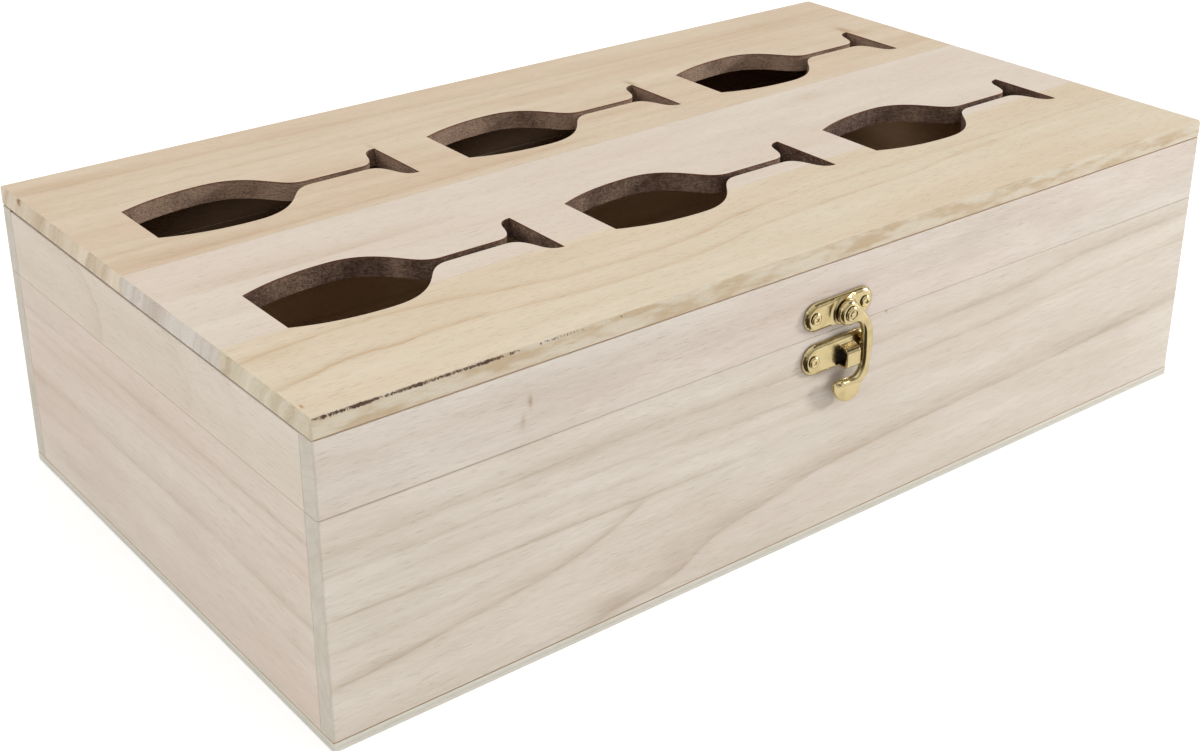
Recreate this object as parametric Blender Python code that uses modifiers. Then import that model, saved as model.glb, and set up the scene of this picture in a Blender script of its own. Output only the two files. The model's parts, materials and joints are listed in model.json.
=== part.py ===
"""A pale wooden gift box with a hinged lid that has six wine glass silhouettes cut through it, closed at the
front by a brass swing-hook latch and hung at the back on two small brass butt hinges.

The origin is the middle of the underside. +X runs to the right along the front, -Y is the front, +Z is up.
All sizes are in metres.
"""

import math

import bmesh
import bpy
from mathutils import Matrix, Vector

# Driving dimensions of the box
LENGTH = 0.360
DEPTH = 0.199
HEIGHT = 0.1008
WALL = 0.0065
BOTTOM = 0.003
PANEL = 0.0064
SEAM = 0.0715
GAP = 0.0003
ARRIS = 0.0005
PANEL_NOSE = 0.0009

# Cut-outs in the lid: three along, two across, rims to the left
GLASS_LENGTH = 0.0923
GLASS_PITCH = 0.1126
ROW_PITCH = 0.0790
ROW_SHIFT = 0.0017
# Half of a glass outline, from the rim to the foot: distance from the rim, half width, and the direction
# and reach of the curve on each side of the point (a reach of 0 is a straight run or a corner)
GLASS_HALF = [
    (0.0000, 0.0131, (0.0, 0.0), (0.0110, 0.0048)),
    (0.0300, 0.0188, (-0.0090, 0.0), (0.0100, 0.0)),
    (0.0485, 0.0092, (-0.0034, 0.0042), (0.0032, -0.0041)),
    (0.0590, 0.00175, (-0.0050, 0.0), (0.0, 0.0)),
    (0.0795, 0.00175, (0.0, 0.0), (0.0040, 0.0)),
    (0.0860, 0.0080, (-0.0012, -0.0034), (0.0010, 0.0036)),
    (0.0923, 0.0142, (-0.0040, 0.0), (0.0, 0.0)),
]
GLASS_STEPS = 10

# Latch: heights are measured outwards from the front face
PLATE_LENGTH = 0.0286
PLATE_RINGS = [(0.0, 0.0), (0.0, 0.0003), (0.0003, 0.0008), (0.0008, 0.0012), (0.0014, 0.0015)]
PLATE_THICK = 0.0015
PLATE_TILT = math.radians(0.6)
SCREW_REACH = 0.0104
HOOK_PLATE = (0.00095, 0.0787, 0.0097)
KEEPER = (0.00095, 0.0643, 0.0106)
PIVOT_X, PIVOT_Z = 0.00235, 0.0783
BOSS_RADIUS, BOSS_TOP = 0.0046, 0.0025
FLARE_RADIUS, FLARE_TOP = 0.0061, 0.0021
BOSS_INSET = 0.0012
RIVET_RADIUS, RIVET_HEAD, RIVET_TAIL = 0.0012, 0.0024, 0.0021
HOOK_LOW, HOOK_HIGH = 0.0028, 0.0052
HOOK_ROUNDING = 0.0009
HOOK_STEPS = 3
# The hook's bar and its thumb lobe, in mm from the pivot: to the right, then up
HOOK_OUTLINE = [
    (0.0, 4.3), (3.1, 2.6), (5.8, -0.3), (7.8, -2.5), (9.4, -5.0), (10.4, -8.0), (10.8, -11.0),
    (10.6, -14.5), (10.2, -18.5), (9.7, -21.8), (8.9, -24.1), (7.2, -25.4), (4.8, -25.4), (2.0, -25.2),
    (-1.0, -25.0), (-3.0, -24.7), (-3.7, -23.5), (-2.9, -22.4), (-0.5, -22.5), (2.6, -22.8), (4.6, -22.2),
    (6.0, -20.4), (6.6, -17.5), (6.6, -14.0), (6.5, -10.5), (6.1, -7.2), (5.0, -5.2), (2.6, -4.1),
    (0.0, -4.3), (-3.1, -3.0), (-4.3, 0.0), (-3.1, 3.0),
]
LOBE_OUTLINE = [
    (8.3, -24.0), (7.6, -26.8), (6.6, -29.2), (4.6, -30.9), (2.0, -31.2), (-0.8, -30.1), (-3.3, -27.7),
    (-4.6, -25.2), (-4.2, -23.4), (-2.6, -23.1), (2.6, -23.6), (5.6, -22.9),
]
LOBE_LOW, LOBE_HIGH = 0.0026, 0.0038
LOBE_ROUNDING = 0.0004
# The keeper's strap, from the side: its outer and inner profile in mm, up from the pivot, then off the face
STRAP_OUTER = [
    (-19.0, 0.9), (-19.0, 4.2), (-18.7, 4.8), (-18.1, 5.1), (-14.1, 5.1), (-13.2, 4.8), (-12.6, 4.2), (-11.2, 0.9),
]
STRAP_INNER = [(-18.1, 0.0), (-18.1, 4.1), (-13.9, 4.1), (-12.3, 0.0)]
STRAP_LOW_X, STRAP_HIGH_X = -0.0006, 0.0051
STRAP_WINDOW_X = -0.0021

# Hinges: heights are measured outwards from the rear face
HINGE_X = 0.110
HINGE_LENGTH = 0.025
LEAF_REACH = 0.010
LEAF_THICK = 0.0009
KNUCKLE_RADIUS = 0.0020
PIN_RADIUS = 0.0009
MIDDLE_KNUCKLE = 0.0082
LEAF_SCREW_X, LEAF_SCREW_Z = 0.0080, 0.0063

# Screws
SHANK_RADIUS, SHANK_LENGTH = 0.0011, 0.0052
HEAD_RADIUS, HEAD_HEIGHT = 0.0019, 0.0006
ROUND_STEPS = 24

FRONT_FACE = -DEPTH / 2
REAR_FACE = DEPTH / 2
HINGE_AXIS = Vector((0.0, REAR_FACE + GAP + KNUCKLE_RADIUS, SEAM + GAP / 2))
HOOK_AXIS = Vector((PIVOT_X, FRONT_FACE, PIVOT_Z))


# Scene and materials

def clear_scene():
    for old in list(bpy.data.objects):
        bpy.data.objects.remove(old, do_unlink=True)


def new_collection(name, hidden=False):
    collection = bpy.data.collections.new(name)
    bpy.context.scene.collection.children.link(collection)
    collection.hide_render = hidden
    return collection


def new_material(name, colour, roughness, metallic=0.0):
    material = bpy.data.materials.new(name)
    material.use_nodes = True
    shader = material.node_tree.nodes["Principled BSDF"]
    shader.inputs["Base Color"].default_value = (*colour, 1.0)
    shader.inputs["Roughness"].default_value = roughness
    shader.inputs["Metallic"].default_value = metallic
    return material


clear_scene()
PARTS = new_collection("wine_glass_cutout_box")
CUTTERS = new_collection("cutters", hidden=True)


def place(obj, collection):
    """Puts the object in one collection only."""
    for old in list(obj.users_collection):
        old.objects.unlink(obj)
    collection.objects.link(obj)
    return obj


def finish(obj, name, parent=None):
    """Names a part after its node, gives it its own material and hangs it on its joint's empty."""
    obj.name = name
    obj.data.name = name
    kind = next(kind for kind in FINISHES if name.startswith(kind))
    colour, roughness, metallic = FINISHES[kind]
    obj.data.materials.clear()
    obj.data.materials.append(new_material(name, colour, roughness, metallic))
    place(obj, PARTS)
    if parent:
        bpy.context.view_layer.update()
        obj.parent = parent
        obj.matrix_parent_inverse = parent.matrix_world.inverted()
    return obj


PALE_WOOD = ((0.66, 0.56, 0.45), 0.72, 0.0)
TAN_WOOD = ((0.70, 0.55, 0.37), 0.70, 0.0)
PLYWOOD = ((0.60, 0.54, 0.44), 0.75, 0.0)
BRASS = ((0.80, 0.62, 0.28), 0.26, 1.0)
FINISHES = {
    "lid_panel": TAN_WOOD,
    "lid_": PALE_WOOD,
    "base_bottom": PLYWOOD,
    "base_": PALE_WOOD,
    "latch_": BRASS,
    "hinge_": BRASS,
}


# Solids

def box(low, high, arris=0.0, segments=1):
    """A box between two corners, with its edges softened where an arris is asked for."""
    low, high = Vector(low), Vector(high)
    bpy.ops.mesh.primitive_cube_add(size=1, location=(low + high) / 2)
    obj = bpy.context.object
    obj.scale = high - low
    bpy.ops.object.transform_apply(location=False, rotation=False, scale=True)
    if arris:
        soften(obj, arris, segments)
    return obj


def soften(obj, width, segments=1, angle=40):
    bevel = obj.modifiers.new("arris", "BEVEL")
    bevel.width = width
    bevel.segments = segments
    bevel.limit_method = "ANGLE"
    bevel.angle_limit = math.radians(angle)
    return bevel


def cylinder(radius, start, end, steps=ROUND_STEPS):
    """A closed cylinder between two points."""
    start, end = Vector(start), Vector(end)
    run = end - start
    bpy.ops.mesh.primitive_cylinder_add(
        vertices=steps, radius=radius, depth=run.length, location=(start + end) / 2,
        rotation=run.to_track_quat("Z", "Y").to_euler(),
    )
    obj = bpy.context.object
    obj.data.shade_smooth()
    obj.data.set_sharp_from_angle(angle=math.radians(40))
    return obj


def turned(profile, foot, outward, steps=ROUND_STEPS):
    """A turned solid: profile lists (radius, height) from the top down, and outward is its axis from foot."""
    mesh = bpy.data.meshes.new("turned")
    mesh.from_pydata(
        [(radius, 0.0, height) for radius, height in profile],
        [(i, i + 1) for i in range(len(profile) - 1)],
        [],
    )
    obj = bpy.data.objects.new("turned", mesh)
    bpy.context.scene.collection.objects.link(obj)
    obj.location = foot
    obj.rotation_euler = Vector(outward).to_track_quat("Z", "Y").to_euler()
    screw = obj.modifiers.new("turn", "SCREW")
    screw.axis = "Z"
    screw.steps = steps
    screw.render_steps = steps
    screw.use_merge_vertices = True
    screw.merge_threshold = 0.00001
    screw.use_smooth_shade = True
    return obj


def solid_from_outline(points, thickness, world, handles=None, steps=1, rounding=0.0):
    """A flat outline, drawn in XY as straight runs or as a smooth closed curve, made a solid of even thickness
    about its own plane, with rounded edges where asked for, and welded at its caps."""
    curve = bpy.data.curves.new("outline", "CURVE")
    curve.dimensions = "2D"
    curve.fill_mode = "BOTH"
    curve.extrude = thickness / 2 - rounding
    curve.bevel_depth = rounding
    curve.bevel_resolution = 2
    curve.offset = -rounding
    curve.resolution_u = steps
    smooth = handles is not None or steps > 1
    spline = curve.splines.new("BEZIER" if smooth else "POLY")
    if smooth:
        spline.bezier_points.add(len(points) - 1)
        for i, (point, (x, y)) in enumerate(zip(spline.bezier_points, points)):
            point.co = (x, y, 0.0)
            if handles is None:
                point.handle_left_type = point.handle_right_type = "AUTO"
            else:
                before, after = handles[i]
                point.handle_left_type = point.handle_right_type = "FREE"
                point.handle_left = (x + before[0], y + before[1], 0.0)
                point.handle_right = (x + after[0], y + after[1], 0.0)
    else:
        spline.points.add(len(points) - 1)
        for point, (x, y) in zip(spline.points, points):
            point.co = (x, y, 0.0, 1.0)
    spline.use_cyclic_u = True
    drawn = bpy.data.objects.new("outline", curve)
    drawn.matrix_world = world
    bpy.context.scene.collection.objects.link(drawn)
    graph = bpy.context.evaluated_depsgraph_get()
    graph.update()
    mesh = bpy.data.meshes.new_from_object(drawn.evaluated_get(graph))
    solid = bpy.data.objects.new("solid", mesh)
    bpy.context.scene.collection.objects.link(solid)
    solid.matrix_world = world
    bpy.data.objects.remove(drawn, do_unlink=True)
    bpy.data.curves.remove(curve)
    weld(solid)
    return solid


def weld(obj):
    mesh = bmesh.new()
    mesh.from_mesh(obj.data)
    bmesh.ops.remove_doubles(mesh, verts=mesh.verts, dist=0.000001)
    bmesh.ops.dissolve_degenerate(mesh, dist=0.000001, edges=mesh.edges)
    bmesh.ops.recalc_face_normals(mesh, faces=mesh.faces)
    mesh.to_mesh(obj.data)
    mesh.free()


def boolean(obj, other, operation):
    """Cuts the other shape from this one, or joins it on; the other is kept among the cutters."""
    place(other, CUTTERS)
    other.hide_render = True
    other.display_type = "WIRE"
    change = obj.modifiers.new(operation.lower(), "BOOLEAN")
    change.operation = operation
    change.object = other
    change.solver = "EXACT"
    return other


def cut(obj, other):
    return boolean(obj, other, "DIFFERENCE")


def join(obj, other):
    return boolean(obj, other, "UNION")


def face_plane(x, z, height, turn=0.0):
    """The matrix that lays an XY drawing on the front of the box, its normal outwards and its X to the right."""
    return (
        Matrix.Translation((x, FRONT_FACE - height, z))
        @ Matrix.Rotation(math.radians(90), 4, "X")
        @ Matrix.Rotation(turn, 4, "Z")
    )


def empty_at(name, place_at):
    obj = bpy.data.objects.new(name, None)
    obj.location = place_at
    obj.empty_display_size = 0.02
    PARTS.objects.link(obj)
    bpy.context.view_layer.update()
    return obj


# Wooden case

def frame_of_walls(names, low_z, high_z, parent=None):
    """Four walls on edge; the front and rear ones run the full length and cover the ends of the side ones."""
    half = LENGTH / 2
    inner = REAR_FACE - WALL - GAP
    front = box((-half, FRONT_FACE, low_z), (half, FRONT_FACE + WALL, high_z), ARRIS)
    rear = box((-half, REAR_FACE - WALL, low_z), (half, REAR_FACE, high_z), ARRIS)
    left = box((-half, -inner, low_z), (-half + WALL, inner, high_z), ARRIS)
    right = box((half - WALL, -inner, low_z), (half, inner, high_z), ARRIS)
    return [finish(wall, name, parent) for wall, name in zip((front, rear, left, right), names)]


def glass_cutter(rim_x, middle_y):
    """One wine glass silhouette, lying along X with its rim at rim_x, as a cutter through the lid's panel."""
    upper = [(s, w, before, after) for s, w, before, after in GLASS_HALF]
    lower = [(s, -w, (a[0], -a[1]), (b[0], -b[1])) for s, w, b, a in reversed(GLASS_HALF)]
    points = [(s, w) for s, w, _, _ in upper + lower]
    handles = [(before, after) for _, _, before, after in upper + lower]
    world = Matrix.Translation((rim_x, middle_y, HEIGHT - PANEL / 2))
    return solid_from_outline(points, PANEL * 3, world, handles, GLASS_STEPS)


def lid_panel(parent):
    """The lid's top, an edge-glued blank with a rounded front arris and the six glasses cut right through."""
    half = LENGTH / 2
    panel = box((-half, FRONT_FACE, HEIGHT - PANEL), (half, REAR_FACE, HEIGHT))
    mesh = bmesh.new()
    mesh.from_mesh(panel.data)
    nose = [
        edge for edge in mesh.edges
        if all((panel.matrix_world @ v.co).y < FRONT_FACE / 2 and v.co.z > 0 for v in edge.verts)
    ]
    bmesh.ops.bevel(mesh, geom=nose, offset=PANEL_NOSE, segments=3, profile=0.5, affect="EDGES")
    mesh.to_mesh(panel.data)
    mesh.free()
    soften(panel, ARRIS)
    first_rim = -GLASS_PITCH - GLASS_LENGTH / 2
    for row in (-1, 1):
        for column in range(3):
            cut(panel, glass_cutter(first_rim + column * GLASS_PITCH, ROW_SHIFT + row * ROW_PITCH / 2))
    return finish(panel, "lid_panel", parent)


# Fasteners

def screw_hole(obj, face, outward, radius=SHANK_RADIUS, depth=SHANK_LENGTH):
    """A hole with clearance around a screw's shank, from well outside the face to just past the tip."""
    outward = Vector(outward)
    cut(obj, cylinder(radius + GAP, face + outward * 0.01, face - outward * (depth + GAP), 12))


def wood_screw(name, face, seat, outward, parent=None):
    """A domed wood screw whose head stands GAP above a seat, which is that far outside the wood's face."""
    under = seat + GAP
    dome = [
        (HEAD_RADIUS * math.sin(turn), under + HEAD_HEIGHT * (0.35 + 0.65 * math.cos(turn)))
        for turn in (math.radians(angle) for angle in (0, 30, 60, 90))
    ]
    shank = [
        (HEAD_RADIUS, under), (SHANK_RADIUS, under), (SHANK_RADIUS, -SHANK_LENGTH * 0.7), (0.0, -SHANK_LENGTH)
    ]
    return finish(turned(dome + shank, face, outward, 16), name, parent)


# Latch

def stadium(length, width, steps=12):
    """A bar with round ends, as points."""
    radius = width / 2
    reach = length / 2 - radius
    points = []
    for side in (1, -1):
        for i in range(steps + 1):
            turn = math.pi * (i / steps - 0.5)
            points.append((side * (reach + radius * math.cos(turn)), side * radius * math.sin(turn)))
    return points


def latch_screws(plate):
    """Where a plate's two screws go into the wood."""
    centre_x, centre_z, _ = plate
    reach_x = SCREW_REACH * math.cos(PLATE_TILT)
    reach_z = SCREW_REACH * math.sin(PLATE_TILT)
    return [Vector((centre_x + s * reach_x, FRONT_FACE, centre_z + s * reach_z)) for s in (-1, 1)]


def latch_plate(plate):
    """A pressed brass plate with round ends, a wide sloping rim and two screw holes."""
    centre_x, centre_z, width = plate
    points, faces = [], []
    for inset, height in PLATE_RINGS:
        ring = stadium(PLATE_LENGTH - 2 * inset, width - 2 * inset)
        points += [(x, y, height) for x, y in ring]
    count = len(ring)
    for level in range(len(PLATE_RINGS) - 1):
        for i in range(count):
            j = (i + 1) % count
            low, high = level * count, (level + 1) * count
            faces.append((low + i, low + j, high + j, high + i))
    faces.append(tuple(reversed(range(count))))
    faces.append(tuple(range(len(points) - count, len(points))))
    mesh = bpy.data.meshes.new("plate")
    mesh.from_pydata(points, [], faces)
    obj = bpy.data.objects.new("plate", mesh)
    bpy.context.scene.collection.objects.link(obj)
    obj.matrix_world = face_plane(centre_x, centre_z, GAP, PLATE_TILT)
    for face in latch_screws(plate):
        screw_hole(obj, face, (0, -1, 0))
    return obj


def out_from_face(x, z, height):
    return Vector((x, FRONT_FACE - height, z))


def hook_plate(parent):
    """The lid's plate: its round boss carries the hook, and the rivet's tail sits in a recess behind it."""
    plate = latch_plate(HOOK_PLATE)
    root = GAP + PLATE_THICK / 2
    boss = turned([
        (0.0, BOSS_TOP), (BOSS_RADIUS - 0.0002, BOSS_TOP), (BOSS_RADIUS, BOSS_TOP - 0.0002),
        (BOSS_RADIUS, FLARE_TOP), (FLARE_RADIUS, GAP + PLATE_THICK - 0.0001), (FLARE_RADIUS, root), (0.0, root),
    ], out_from_face(PIVOT_X, PIVOT_Z, 0), (0, -1, 0), 32)
    centre_x, centre_z, width = HOOK_PLATE
    within = stadium(PLATE_LENGTH - BOSS_INSET, width - BOSS_INSET)
    world = face_plane(centre_x, centre_z, GAP + PLATE_THICK, PLATE_TILT)
    boolean(boss, solid_from_outline(within, 0.006, world), "INTERSECT")
    join(plate, boss)
    cut(plate, cylinder(
        RIVET_RADIUS + GAP, out_from_face(PIVOT_X, PIVOT_Z, -0.001), out_from_face(PIVOT_X, PIVOT_Z, 0.004), 16))
    cut(plate, cylinder(
        RIVET_TAIL + GAP, out_from_face(PIVOT_X, PIVOT_Z, -0.001), out_from_face(PIVOT_X, PIVOT_Z, 0.0012), 16))
    return finish(plate, "latch_hook_plate", parent)


def strap_solid(profile, low_x, high_x):
    """A solid along X of one of the strap's side profiles."""
    middle = PIVOT_X + (low_x + high_x) / 2
    world = Matrix((
        (0.0, 0.0, 1.0, middle), (0.0, -1.0, 0.0, FRONT_FACE), (1.0, 0.0, 0.0, PIVOT_Z), (0.0, 0.0, 0.0, 1.0)))
    return solid_from_outline([(z / 1000, h / 1000) for z, h in profile], high_x - low_x, world)


def keeper_plate():
    """The base's plate, with a square strap pressed up out of a window in it that the hook closes round."""
    plate = latch_plate(KEEPER)
    join(plate, strap_solid(STRAP_OUTER, STRAP_LOW_X, STRAP_HIGH_X))
    cut(plate, strap_solid(STRAP_INNER, STRAP_WINDOW_X, STRAP_HIGH_X + 0.0001))
    return finish(plate, "latch_keeper_plate")


def hook_bar(outline, low, high, rounding):
    """One of the hook's flat outlines as a bar with rounded edges, between two heights off the face."""
    world = face_plane(PIVOT_X, PIVOT_Z, (low + high) / 2)
    points = [(x / 1000, z / 1000) for x, z in outline]
    return solid_from_outline(points, high - low, world, steps=HOOK_STEPS, rounding=rounding)


def latch_hook(parent):
    """The swinging hook: a ring on the rivet, an arm that bows out past the strap and curls under it, and a
    lower, flat thumb lobe."""
    hook = hook_bar(HOOK_OUTLINE, HOOK_LOW, HOOK_HIGH, HOOK_ROUNDING)
    join(hook, hook_bar(LOBE_OUTLINE, LOBE_LOW, LOBE_HIGH, LOBE_ROUNDING))
    cut(hook, cylinder(
        RIVET_RADIUS + GAP, out_from_face(PIVOT_X, PIVOT_Z, 0), out_from_face(PIVOT_X, PIVOT_Z, 0.01), 16))
    return finish(hook, "latch_hook", parent)


def pivot_rivet(parent):
    """The rivet that holds the hook to its plate: a domed head, a shank and a flat tail."""
    under = HOOK_HIGH + GAP
    dome = [
        (RIVET_HEAD * math.sin(turn), under + 0.0002 + 0.0004 * math.cos(turn))
        for turn in (math.radians(angle) for angle in (0, 30, 60, 90))
    ]
    profile = dome + [
        (RIVET_HEAD, under), (RIVET_RADIUS, under), (RIVET_RADIUS, 0.0009),
        (RIVET_TAIL, 0.0009), (RIVET_TAIL, 0.0004), (0.0, 0.0004),
    ]
    return finish(turned(profile, out_from_face(PIVOT_X, PIVOT_Z, 0), (0, -1, 0)), "latch_pivot_rivet", parent)


# Hinges

def hinge_leaf(name, centre_x, side, knuckles, parent=None):
    """One leaf of a butt hinge, flat on the rear face above (side 1) or below (side -1) the pin's axis, with
    its rolled knuckles at the given stretches of X and a clear notch at the other leaf's."""
    flat_low, flat_high = REAR_FACE + GAP, REAR_FACE + GAP + LEAF_THICK
    near, far = KNUCKLE_RADIUS + 0.00035, LEAF_REACH
    levels = sorted((HINGE_AXIS.z + side * near, HINGE_AXIS.z + side * far))
    leaf = box(
        (centre_x - HINGE_LENGTH / 2, flat_low, levels[0]),
        (centre_x + HINGE_LENGTH / 2, flat_high, levels[1]),
    )
    for low_x, high_x in knuckles:
        tab = sorted((HINGE_AXIS.z, HINGE_AXIS.z + side * (near + 0.001)))
        join(leaf, box((centre_x + low_x, flat_low, tab[0]), (centre_x + high_x, flat_high, tab[1])))
        join(leaf, cylinder(
            KNUCKLE_RADIUS,
            (centre_x + low_x, HINGE_AXIS.y, HINGE_AXIS.z), (centre_x + high_x, HINGE_AXIS.y, HINGE_AXIS.z)))
    reach = HINGE_LENGTH
    cut(leaf, cylinder(
        PIN_RADIUS + GAP,
        (centre_x - reach, HINGE_AXIS.y, HINGE_AXIS.z), (centre_x + reach, HINGE_AXIS.y, HINGE_AXIS.z), 16))
    for face in leaf_screws(centre_x, side):
        screw_hole(leaf, face, (0, 1, 0))
    return finish(leaf, name, parent)


def leaf_screws(centre_x, side):
    z = HINGE_AXIS.z + side * LEAF_SCREW_Z
    return [Vector((centre_x + s * LEAF_SCREW_X, REAR_FACE, z)) for s in (-1, 1)]


def hinge(tag, centre_x, lid_axis):
    """A butt hinge: a leaf on the base, a leaf on the lid and the pin that joins their knuckles."""
    end, middle = HINGE_LENGTH / 2, MIDDLE_KNUCKLE / 2
    outer = [(-end, -middle - GAP), (middle + GAP, end)]
    hinge_leaf(f"hinge_{tag}_base_leaf", centre_x, -1, outer)
    hinge_leaf(f"hinge_{tag}_lid_leaf", centre_x, 1, [(-middle, middle)], lid_axis)
    pin = cylinder(
        PIN_RADIUS,
        (centre_x - end, HINGE_AXIS.y, HINGE_AXIS.z), (centre_x + end, HINGE_AXIS.y, HINGE_AXIS.z), 16)
    finish(pin, f"hinge_{tag}_pin")
    seat = GAP + LEAF_THICK
    for number, face in enumerate(leaf_screws(centre_x, -1), 1):
        wood_screw(f"hinge_{tag}_base_screw_{number}", face, seat, (0, 1, 0))
    for number, face in enumerate(leaf_screws(centre_x, 1), 1):
        wood_screw(f"hinge_{tag}_lid_screw_{number}", face, seat, (0, 1, 0), lid_axis)


def build():
    half = LENGTH / 2
    lid_axis = empty_at("lid_axis", HINGE_AXIS)
    hook_axis = empty_at("hook_axis", HOOK_AXIS)
    hook_axis.parent = lid_axis
    hook_axis.matrix_parent_inverse = lid_axis.matrix_world.inverted()
    bpy.context.view_layer.update()

    bottom = box((-half, FRONT_FACE, 0.0), (half, REAR_FACE, BOTTOM), ARRIS)
    finish(bottom, "base_bottom")
    base_names = ["base_front_wall", "base_rear_wall", "base_left_wall", "base_right_wall"]
    base_front, base_rear, _, _ = frame_of_walls(base_names, BOTTOM + GAP, SEAM)
    lid_names = ["lid_front_rail", "lid_rear_rail", "lid_left_rail", "lid_right_rail"]
    lid_front, lid_rear, _, _ = frame_of_walls(lid_names, SEAM + GAP, HEIGHT - PANEL - GAP, lid_axis)
    lid_panel(lid_axis)

    seat = GAP + PLATE_THICK
    hook_plate(lid_axis)
    latch_hook(hook_axis)
    pivot_rivet(lid_axis)
    keeper_plate()
    for number, face in enumerate(latch_screws(HOOK_PLATE), 1):
        wood_screw(f"latch_hook_plate_screw_{number}", face, seat, (0, -1, 0), lid_axis)
        screw_hole(lid_front, face, (0, -1, 0))
    for number, face in enumerate(latch_screws(KEEPER), 1):
        wood_screw(f"latch_keeper_screw_{number}", face, seat, (0, -1, 0))
        screw_hole(base_front, face, (0, -1, 0))

    for tag, centre_x in (("left", -HINGE_X), ("right", HINGE_X)):
        hinge(tag, centre_x, lid_axis)
        for face in leaf_screws(centre_x, -1):
            screw_hole(base_rear, face, (0, 1, 0))
        for face in leaf_screws(centre_x, 1):
            screw_hole(lid_rear, face, (0, 1, 0))


build()
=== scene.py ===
import json
import math

import bmesh
import bpy
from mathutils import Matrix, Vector
from mathutils.kdtree import KDTree


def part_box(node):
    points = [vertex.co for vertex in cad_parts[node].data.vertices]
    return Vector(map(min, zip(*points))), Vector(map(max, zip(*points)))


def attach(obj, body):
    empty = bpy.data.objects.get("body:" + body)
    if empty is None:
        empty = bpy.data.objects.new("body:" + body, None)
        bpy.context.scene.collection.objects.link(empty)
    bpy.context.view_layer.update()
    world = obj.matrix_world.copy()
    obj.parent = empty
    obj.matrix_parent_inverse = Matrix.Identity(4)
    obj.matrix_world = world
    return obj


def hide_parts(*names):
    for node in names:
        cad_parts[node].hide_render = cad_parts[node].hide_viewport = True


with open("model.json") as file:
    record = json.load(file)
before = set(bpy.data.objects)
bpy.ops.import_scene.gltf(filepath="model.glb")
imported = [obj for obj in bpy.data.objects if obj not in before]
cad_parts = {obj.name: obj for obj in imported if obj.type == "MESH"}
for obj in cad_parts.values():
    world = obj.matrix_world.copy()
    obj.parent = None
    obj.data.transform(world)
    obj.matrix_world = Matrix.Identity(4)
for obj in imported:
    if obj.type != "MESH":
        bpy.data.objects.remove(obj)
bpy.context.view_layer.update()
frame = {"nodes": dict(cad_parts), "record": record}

# The looks of a pale wooden gift box whose lid is cut through with six wine glasses, with a brass swing-hook
# latch and two brass butt hinges. Sizes are in metres in the mesh code and in millimetres in the materials.
# The frame's origin is the middle of the underside, -Y is the front and +Z is up.

NODES = frame["nodes"]
BODY_OF = {node: body for body, nodes in frame["record"]["behaviour"]["bodies"].items() for node in nodes}
MM = 1000

# The lid's panel is as large as the box and lies on top of it
PANEL_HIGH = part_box("lid_panel")[1]
HALF_LENGTH, HALF_DEPTH, TOP = PANEL_HIGH


# Node trees

# How much of a polished surface's sheen raw wood has
BARE_WOOD_SHEEN = 0.22


def tone(red, green, blue, light=1.0):
    """The linear colour that shows as these screen values, out of 255, under that much light."""
    linear = []
    for value in (red, green, blue):
        v = value / 255
        linear.append((v / 12.92 if v <= 0.04045 else ((v + 0.055) / 1.055) ** 2.4) / light)
    return (*linear, 1.0)


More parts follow.
